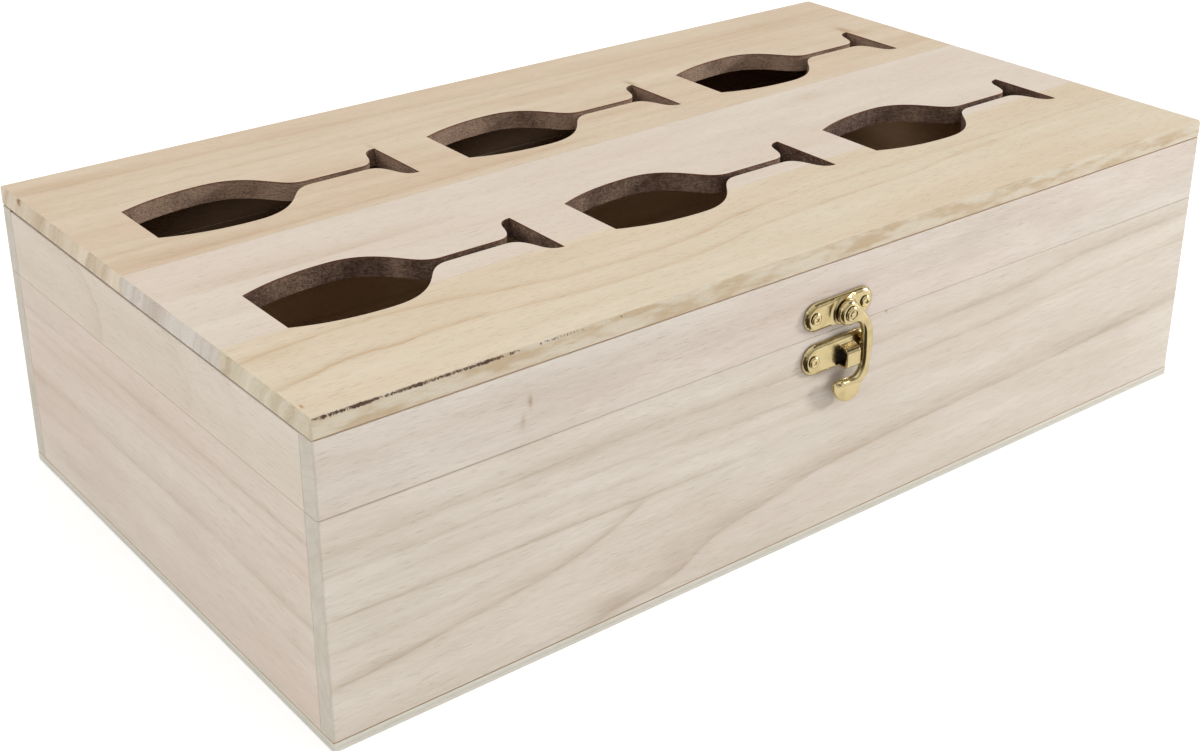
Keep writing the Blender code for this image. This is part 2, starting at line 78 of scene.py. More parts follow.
class Surface:
    """A material's node tree, with short calls for the nodes that it's made of. Its place inputs are the
    object's own coordinates in millimetres, which are the box's at rest."""

    def __init__(self, name, roughness, metallic=0.0):
        self.material = bpy.data.materials.new(name)
        self.material.use_nodes = True
        self.tree = self.material.node_tree
        self.shader = self.tree.nodes["Principled BSDF"]
        self.shader.inputs["Roughness"].default_value = roughness
        self.shader.inputs["Metallic"].default_value = metallic
        if not metallic:
            self.shader.inputs["Specular IOR Level"].default_value = BARE_WOOD_SHEEN
        place = self.add("TexCoord").outputs["Object"]
        scaled = self.add("VectorMath", operation="SCALE")
        self.wire(scaled.inputs[0], place)
        scaled.inputs["Scale"].default_value = MM
        parts = self.add("SeparateXYZ")
        self.wire(parts.inputs[0], scaled.outputs[0])
        self.x, self.y, self.z = parts.outputs

    def add(self, kind, **settings):
        node = self.tree.nodes.new("ShaderNode" + kind)
        for name, value in settings.items():
            setattr(node, name, value)
        return node

    def wire(self, socket, value):
        if isinstance(value, bpy.types.NodeSocket):
            self.tree.links.new(value, socket)
        else:
            socket.default_value = value

    def math(self, operation, *values, clamp=False):
        node = self.add("Math", operation=operation, use_clamp=clamp)
        for socket, value in zip(node.inputs, values):
            self.wire(socket, value)
        return node.outputs[0]

    def plus(self, *values):
        total = values[0]
        for value in values[1:]:
            total = self.math("ADD", total, value)
        return total

    def times(self, *values):
        total = values[0]
        for value in values[1:]:
            total = self.math("MULTIPLY", total, value)
        return total

    def minus(self, a, b):
        return self.math("SUBTRACT", a, b)

    def linear(self, value, scale, shift):
        return self.math("MULTIPLY_ADD", value, scale, shift)

    def step(self, value, low, high):
        """0 below low and 1 above high; the other way round when high is the smaller."""
        node = self.add("MapRange", interpolation_type="SMOOTHSTEP")
        self.wire(node.inputs["Value"], value)
        node.inputs["From Min"].default_value = low
        node.inputs["From Max"].default_value = high
        return node.outputs[0]

    def vector(self, x, y, z):
        node = self.add("CombineXYZ")
        for socket, value in zip(node.inputs, (x, y, z)):
            self.wire(socket, value)
        return node.outputs[0]

    def noise(self, place, size=1.0, detail=2.0, roughness=0.5):
        """Noise about 0.5 whose blobs are about that many millimetres across."""
        node = self.add("TexNoise")
        self.wire(node.inputs["Vector"], place)
        node.inputs["Scale"].default_value = 1 / size
        node.inputs["Detail"].default_value = detail
        node.inputs["Roughness"].default_value = roughness
        return node.outputs[0]

    def mix(self, share, first, second):
        node = self.add("Mix", data_type="RGBA")
        colours = [socket for socket in node.inputs if socket.type == "RGBA"]
        self.wire(node.inputs["Factor"], share)
        self.wire(colours[0], first)
        self.wire(colours[1], second)
        return next(socket for socket in node.outputs if socket.type == "RGBA")

    def follow(self, u, points):
        """A smooth curve through a few (u, v) points, as v at this u; level beyond its ends."""
        us, vs = [p[0] for p in points], [p[1] for p in points]
        low_u, high_u = min(us), max(us)
        low_v, span_v = min(vs), max(max(vs) - min(vs), 1e-6)
        node = self.add("FloatCurve")
        curve = node.mapping.curves[0]
        places = [((a - low_u) / (high_u - low_u), (b - low_v) / span_v) for a, b in points]
        curve.points[0].location = places[0]
        curve.points[1].location = places[-1]
        for place in places[1:-1]:
            curve.points.new(*place)
        node.mapping.update()
        along = self.add("MapRange")
        self.wire(along.inputs["Value"], u)
        along.inputs["From Min"].default_value = low_u
        along.inputs["From Max"].default_value = high_u
        self.wire(node.inputs["Value"], along.outputs[0])
        return self.linear(node.outputs[0], span_v, low_v)

    def bump(self, height, depth):
        """Relief from a height in millimetres."""
        node = self.add("Bump")
        node.inputs["Strength"].default_value = 1.0
        node.inputs["Distance"].default_value = depth
        self.wire(node.inputs["Height"], height)
        self.wire(self.shader.inputs["Normal"], node.outputs[0])

    def colour(self, value):
        self.wire(self.shader.inputs["Base Color"], value)

    def roughness(self, value):
        self.wire(self.shader.inputs["Roughness"], value)


# Wood

def growth_line(s, u, v, points, fine, wide, strength, fade=None):
    """A dark line of late wood along a curve: sharp on one side, and fading over `wide` mm on the other, the
    side of smaller v where wide is negative. It dies away over `fade` mm at the ends of the curve."""
    centre = s.follow(u, points)
    side = 1 if wide > 0 else -1
    off = s.times(s.minus(v, centre), side)
    near = s.math("EXPONENT", s.times(off, 1 / fine))
    far = s.math("EXPONENT", s.times(off, -1 / abs(wide)))
    line = s.times(s.math("MINIMUM", near, far), strength)
    if fade:
        low, high = points[0][0], points[-1][0]
        line = s.times(line, s.step(u, low - fade, low + fade), s.step(u, high + fade, high - fade))
    return line


def spot(s, u, v, centre, size, strength, lean=0.0):
    """A soft dark mark: a bell of that size along and across the grain."""
    du = s.minus(u, centre[0])
    dv = s.minus(s.minus(v, centre[1]), s.times(du, lean))
    far = s.plus(s.math("POWER", s.times(du, 1 / size[0]), 2), s.math("POWER", s.times(dv, 1 / size[1]), 2))
    return s.times(s.math("EXPONENT", s.times(far, -1)), strength)


def fibres(s, u, v, w, seed=0.0):
    """The grain between the growth lines: (soft tone, fine streaks, dark pores), each about 0."""
    u = s.plus(u, seed)
    tone_noise = s.noise(s.vector(s.times(u, 0.16), v, w), 9, 2, 0.5)
    streaks = s.noise(s.vector(s.times(u, 0.10), v, w), 0.9, 3, 0.62)
    pores = s.noise(s.vector(s.times(u, 0.085), v, w), 0.34, 1, 0.5)
    return (
        s.linear(tone_noise, 1, -0.5),
        s.linear(streaks, 1, -0.5),
        s.step(pores, 0.60, 0.78),
    )


def wavy(s, u, v, w, amount, seed=0.0):
    """v pushed about a little along the grain, so that no line is ruler-straight."""
    slow = s.noise(s.vector(s.plus(s.times(u, 0.35), seed), v, w), 16, 1, 0.5)
    quick = s.noise(s.vector(s.plus(s.times(u, 0.5), seed), v, w), 3.2, 2, 0.5)
    return s.plus(v, s.linear(slow, amount, -amount / 2), s.linear(quick, amount * 0.3, -amount * 0.15))


class Wood:
    """One board's colours and figure: growth lines along the grain, arches across it, and spots."""

    def __init__(
            self, light, dark, blush, lines=(), arches=(), spots=(), seed=0.0, contrast=1.0, wave=1.2):
        self.light, self.dark, self.blush = light, dark, blush
        self.lines, self.arches, self.spots = lines, arches, spots
        self.seed, self.contrast, self.wave = seed, contrast, wave

    def paint(self, s, u, v, w):
        """(colour, height) of the board on a material's tree."""
        bent = wavy(s, u, v, w, self.wave, self.seed)
        soft, fine, pores = fibres(s, u, v, w, self.seed)
        shade = s.plus(
            s.times(soft, 0.55 * self.contrast), s.times(fine, 0.50 * self.contrast),
            s.times(pores, 0.13), 0.15)
        if self.lines:
            lines = s.plus(*[growth_line(s, u, bent, *line) for line in self.lines])
            broken = s.noise(s.vector(s.times(u, 0.06), v, w), 1.3, 2, 0.6)
            shade = s.plus(shade, s.times(lines, s.linear(broken, 1.5, 0.25)))
        for arch in self.arches:
            shade = s.plus(shade, growth_line(s, v, u, *arch))
        if self.spots:
            shade = s.plus(shade, *[spot(s, u, v, *mark) for mark in self.spots])
        shade = s.math("ADD", shade, 0.0, clamp=True)
        warm = s.noise(s.vector(s.times(s.plus(u, self.seed), 0.16), v, w), 23, 1, 0.5)
        base = s.mix(s.step(warm, 0.35, 0.68), self.light, self.blush)
        height = s.plus(s.times(fine, 0.5), s.times(pores, -0.6))
        return s.mix(shade, base, self.dark), height


def finish_wood(s, colour, height):
    s.colour(colour)
    s.bump(height, 0.00012)
    s.roughness(s.linear(height, 0.10, 0.62))
    return s.material


def grain_places(s, along):
    """(along, across, deep) for grain that runs with X or with Y; across is Z on the outside of a wall."""
    if along == "x":
        return s.x, s.z, s.y
    return s.y, s.z, s.x


def wall_wood(name, wood, along):
    s = Surface(name, 0.6)
    return finish_wood(s, *wood.paint(s, *grain_places(s, along)))


def end_grain(name, light, dark, centre, ring):
    """Wood cut across: growth rings as broad arcs round a far centre in the end's plane, and open pores."""
    s = Surface(name, 0.75)
    across, up = s.y, s.z
    wobble = s.noise(s.vector(s.times(s.x, 0.2), across, up), 5, 2, 0.5)
    du = s.minus(across, centre[0])
    dv = s.minus(up, centre[1])
    away = s.math("SQRT", s.plus(s.math("POWER", du, 2), s.math("POWER", dv, 2)))
    away = s.plus(away, s.linear(wobble, 2.2, -1.1))
    phase = s.math("FRACT", s.times(away, 1 / ring))
    rings = s.math("POWER", phase, 3)
    speckle = s.noise(s.vector(s.times(s.x, 0.3), across, up), 0.45, 2, 0.6)
    patches = s.noise(s.vector(s.times(s.x, 0.2), across, up), 7, 2, 0.5)
    shade = s.plus(s.times(rings, 0.16), s.linear(speckle, 0.5, -0.25), s.linear(patches, 0.7, -0.25))
    shade = s.math("ADD", shade, 0.08, clamp=True)
    s.colour(s.mix(shade, light, dark))
    s.bump(speckle, 0.00018)
    s.roughness(s.linear(speckle, 0.12, 0.68))
    return s.material


# The light on each side of the box, against which its wood's tones are set
FRONT_LIGHT, LEFT_LIGHT, TOP_LIGHT, WOOD_LIGHT = 1.41, 1.26, 1.33, 1.4

# The case's boards, with the growth lines that show on each: (curve, sharp side, soft side, strength, fade)
BASE_FRONT = Wood(
    tone(227, 218, 205, FRONT_LIGHT), tone(181, 161, 137, FRONT_LIGHT), tone(225, 213, 200, FRONT_LIGHT),
    lines=[
        ([(-180, 60.5), (-100, 61.8), (-20, 61.2), (80, 61.6), (120, 65.0), (180, 66.0)], 0.9, 2.6, 0.30),
        ([(-180, 54.4), (-80, 54.0), (-10, 52.0), (70, 52.5), (125, 54.5), (180, 56.0)], 0.6, 1.2, 0.26),
        ([(-180, 48.6), (-120, 48.2), (-50, 46.6), (40, 45.0)], 0.7, 1.6, 0.17, 40),
        ([(-180, 41.2), (-130, 40.5), (-90, 40.0), (-40, 39.3)], 0.35, 0.8, 0.44, 14),
        ([(-180, 30.8), (-155, 31.0), (-130, 33.5), (-112, 36.5)], 0.6, 1.4, 0.18, 12),
        ([(-180, 19.8), (-160, 21.3), (-140, 23.8), (-120, 25.8), (-105, 28.0), (-90, 32.0), (-74, 38.5)],
         0.6, 1.8, 0.46, 10),
        ([(-94, 3.5), (-80, 6.5), (-67, 7.6), (-58, 10.0), (-51, 14.0), (-43, 17.0), (-30, 19.3), (-15, 22.0),
          (2, 24.6), (20, 25.6), (70, 27.8), (105, 28.6), (180, 32.0)], 0.6, 4.6, 0.42, 20),
    ],
    spots=[((-87, 7.5), (9, 3.6), 0.26), ((-62, 15.5), (6, 4.6), 0.20), ((-45, 20.5), (12, 2.2), 0.12),
           # The two long, thin spots at height 71.5 are painted shade along the seam below the lid, stronger
           # at the left end
           ((23.1, 71.4), (0.55, 0.45), 1.1), ((-150, 71.5), (52, 0.3), 0.55),
           ((160, 71.5), (40, 0.3), 0.35)],
    seed=12.0, contrast=1.0, wave=1.0,
)
LID_FRONT = Wood(
    tone(225, 216, 204, FRONT_LIGHT), tone(179, 158, 135, FRONT_LIGHT), tone(225, 211, 199, FRONT_LIGHT),
    lines=[
        ([(-180, 76.5), (-120, 77.5), (-60, 79.5), (20, 79.0), (180, 83.0)], 0.8, 3.0, 0.07),
        ([(-90, 83.0), (20, 87.0), (110, 93.5)], 0.8, -3.0, 0.08, 30),
    ],
    spots=[((-114, 84.2), (0.7, 1.9), 0.62, -0.3), ((-116.5, 79.0), (0.9, 2.0), 0.40, 0.3),
           ((-117, 76.0), (3.0, 1.0), 0.14), ((-92, 88.0), (26, 2.2), 0.08)],
    seed=71.0, contrast=1.1, wave=1.2,
)
BASE_LEFT = Wood(
    tone(221, 210, 197, LEFT_LIGHT), tone(172, 149, 126, LEFT_LIGHT), tone(219, 203, 190, LEFT_LIGHT),
    lines=[
        ([(-100, 61.2), (0, 61.8), (100, 61.0)], 0.7, 1.5, 0.26),
        ([(-100, 56.2), (0, 57.0), (100, 56.5)], 0.6, 1.0, 0.14),
        ([(-100, 51.0), (0, 52.0), (100, 51.5)], 0.6, 1.0, 0.14),
        ([(-100, 34.8), (-60, 36.4), (0, 37.4), (100, 36.0)], 0.7, 3.0, 0.26),
        ([(-100, 24.5), (0, 25.5), (100, 23.5)], 1.4, 3.4, 0.12),
        ([(0, 13.0), (100, 10.0)], 1.4, 4.0, 0.08, 30),
    ],
    spots=[((-82, 27.0), (3.6, 5.0), 0.10), ((96, 36), (22, 3.4), 0.14), ((98, 19), (4, 8), 0.14)],
    seed=33.0, contrast=0.72, wave=0.8,
)
LID_LEFT = Wood(
    tone(219, 209, 196, LEFT_LIGHT), tone(182, 158, 132, LEFT_LIGHT), tone(216, 204, 188, LEFT_LIGHT),
    lines=[([(-100, 76.0), (100, 77.0)], 0.8, 2.6, 0.06)],
    arches=[
        ([(71, 29.5), (80, 28.0), (86, 31.5), (95, 44.0)], 0.8, 6.0, 0.22),
        ([(71, -28.5), (80, -31.5), (86, -28.5), (95, -17.0)], 1.0, 6.0, 0.12),
        ([(71, -58.0), (80, -62.0), (95, -50.0)], 1.4, 7.0, 0.06),
    ],
    seed=48.0, contrast=0.62, wave=0.9,
)
BASE_RIGHT = Wood(
    tone(221, 210, 196, WOOD_LIGHT), tone(176, 155, 132, WOOD_LIGHT), tone(218, 203, 188, WOOD_LIGHT),
    lines=[
        ([(-100, 15.0), (-40, 18.0), (20, 26.0), (60, 36.0), (100, 40.0)], 0.8, 3.4, 0.40),
        ([(-100, 25.0), (-40, 30.0), (10, 41.0), (60, 50.0), (100, 52.0)], 0.7, 3.0, 0.34),
        ([(-100, 45.0), (0, 56.0), (100, 61.0)], 0.7, 2.6, 0.28),
        ([(-100, 60.0), (100, 67.0)], 0.6, 2.2, 0.20),
    ],
    seed=90.0, contrast=0.9, wave=1.3,
)
LID_RIGHT = Wood(
    tone(222, 212, 199, WOOD_LIGHT), tone(180, 160, 137, WOOD_LIGHT), tone(219, 206, 191, WOOD_LIGHT),
    lines=[
        ([(-100, 78.0), (0, 79.5), (100, 83.0)], 0.7, 2.8, 0.28),
        ([(-100, 86.0), (100, 90.0)], 0.7, 2.4, 0.20),
    ],
    seed=101.0, contrast=0.9, wave=1.2,
)
BASE_REAR = Wood(
    tone(222, 211, 197, WOOD_LIGHT), tone(177, 156, 133, WOOD_LIGHT), tone(220, 205, 191, WOOD_LIGHT),
    lines=[
        ([(-185, 12.0), (-90, 14.0), (0, 20.0), (90, 17.0), (185, 13.0)], 0.8, 3.6, 0.40),
        ([(-185, 24.0), (-90, 28.0), (0, 34.0), (90, 31.0), (185, 25.0)], 0.8, 3.4, 0.34),
        ([(-185, 38.0), (0, 46.0), (185, 40.0)], 0.7, 3.0, 0.28),
        ([(-185, 50.0), (0, 55.0), (185, 52.0)], 0.6, 2.4, 0.24),
        ([(-185, 60.0), (185, 62.0)], 0.6, 2.2, 0.20),
    ],
    seed=140.0, contrast=0.95, wave=1.6,
)
LID_REAR = Wood(
    tone(223, 213, 200, WOOD_LIGHT), tone(180, 160, 137, WOOD_LIGHT), tone(221, 207, 193, WOOD_LIGHT),
    lines=[
        ([(-185, 78.0), (0, 80.0), (185, 77.0)], 0.7, 2.8, 0.24),
        ([(-185, 86.0), (0, 89.0), (185, 87.0)], 0.7, 2.4, 0.18),
    ],
    seed=166.0, contrast=0.95, wave=1.4,
)
OUTSIDES = {
    "base_front_wall": (BASE_FRONT, "x"), "lid_front_rail": (LID_FRONT, "x"),
    "base_rear_wall": (BASE_REAR, "x"), "lid_rear_rail": (LID_REAR, "x"),
    "base_left_wall": (BASE_LEFT, "y"), "lid_left_rail": (LID_LEFT, "y"),
    "base_right_wall": (BASE_RIGHT, "y"), "lid_right_rail": (LID_RIGHT, "y"),
}


# Between these heights, in millimetres, painted shade darkens the inside of the long walls toward the lid
SHADOW_FROM, SHADOW_TO = 28, 66


def inside_wood(name, along, shadow=0.0):
    """The faces that look into the box: the same wood, warmer. `shadow` is how much painted shade darkens it
    toward the lid.
    """
    board = Wood(
        tone(216, 182, 142, WOOD_LIGHT), tone(172, 132, 94, WOOD_LIGHT), tone(210, 172, 128, WOOD_LIGHT),
        lines=[
            ([(-190, 20), (0, 24), (190, 22)], 0.8, 4, 0.3),
            ([(-190, 44), (0, 50), (190, 47)], 0.8, 4, 0.3),
        ],
        seed=211.0, contrast=1.1, wave=1.6,
    )
    s = Surface(name, 0.6)
    colour, height = board.paint(s, *grain_places(s, along))
    # Painted shade: the long walls' inside darkens toward a deep brown under the lid
    painted_lid_shade = s.times(s.step(s.z, SHADOW_FROM, SHADOW_TO), shadow)
    return finish_wood(s, s.mix(painted_lid_shade, colour, tone(60, 34, 18, WOOD_LIGHT)), height)


# The lid's top: three boards glued edge to edge, seen from above: x along the grain and y across it
REAR_BOARD = Wood(
    tone(228, 211, 186, TOP_LIGHT), tone(184, 148, 110, TOP_LIGHT), tone(225, 204, 178, TOP_LIGHT),
    lines=[
        ([(-180, 86.0), (-60, 85.0), (40, 82.0), (180, 88.0)], 0.9, 2.6, 0.20),
        ([(-180, 77.0), (-60, 77.5), (60, 77.5), (180, 82.0)], 0.8, 2.2, 0.13),
        ([(-180, 69.0), (-60, 69.0), (60, 72.0), (180, 76.5)], 0.8, 2.2, 0.15),
        ([(-180, 61.0), (-40, 62.0), (180, 66.5)], 0.8, 2.0, 0.10),
        ([(-180, 44.0), (-20, 47.0), (180, 52.0)], 0.8, 2.2, 0.12),
        ([(-180, 31.0), (0, 34.0), (180, 37.0)], 0.8, 2.0, 0.13),
        ([(-180, 23.5), (-60, 24.5), (180, 28.0)], 0.8, 1.8, 0.13),
        ([(-180, 12.0), (-120, 14.0), (-60, 17.0), (0, 19.0)], 0.9, 3.2, 0.28, 30),
    ],
    spots=[((-170, 90.0), (18, 3.2), 0.16), ((-160, 14), (34, 5), 0.16),
           ((-66.5, 58.0), (1.0, 2.6), 0.30), ((46.8, 57.6), (1.4, 2.8), 0.62),
           ((160, 58.0), (2.2, 4.6), 0.66),
           ((164, 52.0), (3.0, 3.0), 0.22)],
    seed=5.0, contrast=0.8, wave=0.9,
)
MIDDLE_BOARD = Wood(
    tone(231, 219, 204, TOP_LIGHT), tone(196, 168, 135, TOP_LIGHT), tone(230, 215, 200, TOP_LIGHT),
    lines=[
        ([(-180, -15.0), (-120, -14.5), (-85, -13.0)], 1.0, 4.0, 0.26, 26),
        ([(-50, -9.0), (0, -8.5), (40, -12.0), (64, -23.0)], 1.2, 4.0, 0.10, 18),
        ([(72, -22.0), (110, -14.0), (150, -9.0), (180, -7.0)], 1.2, 4.0, 0.09, 18),
        ([(-110, -22.0), (-40, -22.0)], 0.9, 2.4, 0.10, 16),
        ([(-180, -35.0), (0, -33.0), (90, -36.0)], 0.9, 3.4, 0.08, 20),
        ([(-60, -2.0), (20, 0.0)], 0.9, 3.0, 0.10, 20),
    ],
    spots=[((88, 5.5), (9, 4.0), 0.20), ((-150, -11.0), (34, 2.6), 0.12)],
    seed=25.0, contrast=0.66, wave=1.2,
)
FRONT_BOARD = Wood(
    tone(231, 219, 195, TOP_LIGHT), tone(190, 152, 108, TOP_LIGHT), tone(229, 213, 187, TOP_LIGHT),
    lines=[
        ([(-180, -62.5), (-165, -60.5), (-148, -59.5), (-125, -61.0), (-105, -65.0), (-90, -68.0),
          (-75, -70.2), (-52, -71.0), (-32, -69.8), (-12, -65.5), (8, -63.0)], 0.5, 1.8, 0.32, 6),
        ([(8, -63.0), (50, -63.5), (110, -64.0), (180, -62.0)], 0.6, 1.8, 0.17, 6),
        ([(-180, -81.0), (-169, -80.0), (-160, -77.5), (-150, -76.5), (-142, -77.5), (-128, -76.0),
          (-112, -77.0)], 0.5, 1.3, 0.46, 8),
        ([(-112, -77.0), (-96, -79.0), (-82, -81.0), (-52, -81.6), (-28, -79.5), (-10, -76.0), (35, -73.5),
          (62, -73.0), (82, -70.5), (110, -69.5)], 0.5, 1.5, 0.24, 8),
        ([(-120, -89.5), (-60, -90.5), (0, -89.0)], 0.6, 1.8, 0.08, 20),
        ([(85, -69.5), (130, -68.0), (180, -68.5)], 0.5, 1.4, 0.13, 10),
        ([(100, -78.0), (160, -77.0)], 0.5, 1.6, 0.10, 12),
        ([(-100, -54.5), (-60, -54.0)], 0.8, 2.0, 0.07, 14),
    ],
    spots=[((-172, -62.0), (12, 2.6), 0.16), ((-178.2, -92.3), (0.4, 0.8), 1.2, 0.4),
           ((60, -54), (26, 8), 0.06), ((150, -52), (26, 8), 0.09)],
    seed=57.0, contrast=0.66, wave=0.8,
)
# Where the boards meet: y at the middle of the box and the joints' common slope
REAR_JOINT, FRONT_JOINT, JOINT_SLOPE = 12.9, -47.4, 0.0235


def across_boards(s, rear, middle, front):
    """Picks a colour or a height by the board that a point is in."""
    line = s.times(s.x, JOINT_SLOPE)
    off = s.minus(s.y, line)
    in_rear = s.step(off, REAR_JOINT - 0.1, REAR_JOINT + 0.1)
    in_front = s.step(off, FRONT_JOINT + 0.1, FRONT_JOINT - 0.1)
    return s.mix(in_front, s.mix(in_rear, middle, rear), front), off


def front_edge(s, colour):
    """The panel's narrow front face, a mottled tan."""
    front = -HALF_DEPTH * MM
    face = s.step(s.y, front + 0.9, front + 0.4)
    mottle = s.noise(s.vector(s.times(s.x, 0.22), s.y, s.z), 3.6, 3, 0.6)
    pale, tan = tone(212, 201, 181, FRONT_LIGHT), tone(188, 164, 130, FRONT_LIGHT)
    return s.mix(s.times(face, 0.8), colour, s.mix(s.step(mottle, 0.40, 0.68), pale, tan))


# Where the bark ends, from the left: the solid run, then the last of its specks
BARK_SOLID, BARK_THINS, BARK_ENDS = -126, -118, -62


def bark_line(s, colour):
    """The thin broken line of bark left on the front arris, from the left corner on."""
    front, top = -HALF_DEPTH * MM, TOP * MM
    bits = s.noise(s.vector(s.x, s.y, s.times(s.z, 0.4)), 0.55, 4, 0.75)
    clumps = s.noise(s.vector(s.times(s.x, 0.3), 0.0, 0.0), 2.2, 2, 0.6)
    near = s.times(s.step(s.z, top - 1.7, top - 0.5), s.step(s.y, front + 0.75, front + 0.2))
    along = s.plus(
        s.times(s.step(s.x, BARK_THINS, BARK_SOLID), 0.55),
        s.times(s.step(s.x, BARK_ENDS, BARK_SOLID + 4), 0.42))
    bark = s.plus(bits, s.linear(clumps, 0.7, -0.35), s.times(near, 0.42), s.times(along, 0.25))
    bark = s.times(s.step(bark, 1.02, 1.14), s.step(near, 0.05, 0.25), s.step(along, 0.0, 0.05))
    return s.mix(s.times(bark, 0.94), colour, tone(66, 34, 12, TOP_LIGHT))


def top_wood():
    """The lid's three boards, the glue lines between them and the bark left on the front arris."""
    s = Surface("lid_top_wood", 0.6)
    painted = [board.paint(s, s.x, s.y, s.z) for board in (REAR_BOARD, MIDDLE_BOARD, FRONT_BOARD)]
    colour, off = across_boards(s, *[colour for colour, _ in painted])
    for joint, strength in ((REAR_JOINT, 0.14), (FRONT_JOINT, 0.05)):
        away = s.math("ABSOLUTE", s.minus(off, joint))
        glue = s.times(s.step(away, 0.35, 0.0), strength)
        colour = s.mix(glue, colour, tone(120, 92, 66, TOP_LIGHT))
    colour = bark_line(s, front_edge(s, colour))
    return finish_wood(s, colour, painted[-1][1])


def panel_end():
    """The lid's left and right ends: the three boards cut across, with one slant of rings and each board's
    own colours.
    """
    s = Surface("lid_end_grain", 0.75)
    wobble = s.noise(s.vector(s.times(s.x, 0.2), s.y, s.z), 6, 2, 0.5)
    slant = s.plus(s.y, s.times(s.z, 0.55), s.linear(wobble, 5, -2.5))
    bands = s.noise(s.vector(slant, 0.0, s.times(s.x, 0.02)), 7.5, 3, 0.55)
    lines = s.noise(s.vector(slant, 9.0, s.times(s.x, 0.02)), 1.5, 2, 0.6)
    speckle = s.noise(s.vector(s.times(s.x, 0.3), s.y, s.z), 0.5, 2, 0.6)
    shade = s.plus(s.linear(bands, 1.9, -0.92), s.linear(lines, 0.45, -0.22), s.linear(speckle, 0.5, -0.25))
    shade = s.math("ADD", shade, 0.20, clamp=True)
    rear = s.mix(shade, tone(220, 206, 184, LEFT_LIGHT), tone(168, 142, 110, LEFT_LIGHT))
    middle = s.mix(shade, tone(214, 206, 196, LEFT_LIGHT), tone(172, 154, 136, LEFT_LIGHT))
    front = s.mix(shade, tone(216, 206, 184, LEFT_LIGHT), tone(166, 144, 110, LEFT_LIGHT))
    colour, _ = across_boards(s, rear, middle, front)
    knot = spot(s, s.y, s.z, (84.0, TOP * MM - 0.9), (1.3, 1.1), 1.1)
    colour = s.mix(s.math("MINIMUM", knot, 0.85), colour, tone(140, 96, 60, LEFT_LIGHT))
    s.colour(colour)
    s.bump(speckle, 0.00018)
    s.roughness(s.linear(speckle, 0.12, 0.68))
    return s.material


def charred_wood(name, light):
    """The walls of the cuts: scorched brown, ashy in patches and reddish at the top.
    The rear row is paler, and `light` below 1 darkens the whole, as painted shade."""
    s = Surface(name, 0.8)
    place = s.vector(s.x, s.y, s.z)
    flakes = s.noise(s.vector(s.x, s.y, s.times(s.z, 0.8)), 1.1, 4, 0.7)
    grain = s.noise(s.vector(s.times(s.x, 0.35), s.times(s.y, 0.35), s.z), 0.6, 3, 0.7)
    patches = s.noise(place, 13, 2, 0.5)
    rear_row = s.step(s.y, -10, 20)
    ash = s.plus(s.times(flakes, 0.9), s.times(grain, 0.7), s.times(patches, 1.1))
    ash = s.step(s.plus(ash, s.times(rear_row, 0.34), -0.10), 0.88, 1.86)
    colour = s.mix(ash, tone(70, 48, 38), tone(150, 124, 104))
    rim = s.step(s.z, TOP * MM - 0.9, TOP * MM - 0.1)
    colour = s.mix(s.times(rim, 0.75), colour, tone(112, 64, 44))
    s.colour(s.mix(light, (0.0, 0.0, 0.0, 1.0), colour))
    s.bump(s.plus(flakes, grain), 0.0004)
    s.roughness(s.linear(flakes, -0.3, 0.85))
    return s.material


def plywood():
    """Thin three-ply: fine face grain, with the core's darker end grain along the middle of the edges."""
    s = Surface("plywood", 0.7)
    face = Wood(
        tone(228, 224, 212, WOOD_LIGHT), tone(188, 180, 162, WOOD_LIGHT), tone(224, 220, 208, WOOD_LIGHT),
        spots=[((-52, 0.0), (1.6, 4.0), 2.2)], seed=77.0, contrast=0.9, wave=1.4)
    colour, height = face.paint(s, s.x, s.y, s.z)
    bottom, top = (corner.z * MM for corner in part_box("base_bottom"))
    third = (top - bottom) / 3
    core = s.times(s.step(s.z, third - 0.15, third + 0.1), s.step(s.z, 2 * third + 0.15, 2 * third - 0.1))
    sides = s.math("MAXIMUM", s.math("ABSOLUTE", s.times(s.x, 1 / (HALF_LENGTH * MM))),
                   s.math("ABSOLUTE", s.times(s.y, 1 / (HALF_DEPTH * MM))))
    core = s.times(core, s.step(sides, 0.99, 0.995))
    speckle = s.noise(s.vector(s.x, s.y, s.times(s.z, 0.6)), 0.7, 3, 0.6)
    layer = s.mix(speckle, tone(186, 180, 164, WOOD_LIGHT), tone(222, 217, 204, WOOD_LIGHT))
    return finish_wood(s, s.mix(s.times(core, 0.6), colour, layer), height)


# Metal

def brass(name, bright, deep, roughness):
    """Bright brass plating with faint rolling marks, dull specks, a slightly uneven sheen and painted shade
    in its creases and hollows.
    """
    s = Surface(name, roughness, metallic=1.0)
    place = s.vector(s.x, s.y, s.z)
    clouds = s.noise(place, 5, 3, 0.6)
    specks = s.noise(place, 0.5, 3, 0.7)
    scratches = s.noise(s.vector(s.times(s.x, 0.08), s.y, s.z), 0.25, 2, 0.6)
    worn = s.plus(s.step(clouds, 0.35, 0.75), s.times(s.step(specks, 0.62, 0.8), 0.6))
    # Painted shade: where the mesh's pointiness is low, in creases and hollows, the brass darkens to a
    # near-black brown
    painted_crease_shade = s.step(s.add("NewGeometry").outputs["Pointiness"], 0.49, 0.42)
    plate = s.mix(s.math("MULTIPLY", worn, 0.8, clamp=True), bright, deep)
    s.colour(s.mix(painted_crease_shade, plate, (0.10, 0.06, 0.02, 1.0)))
    s.roughness(s.plus(s.linear(clouds, 0.12, roughness - 0.08), s.times(scratches, 0.05)))
    s.bump(s.plus(s.times(clouds, 1.6), s.times(scratches, 0.35), s.times(specks, 0.25)), 0.00006)
    return s.material


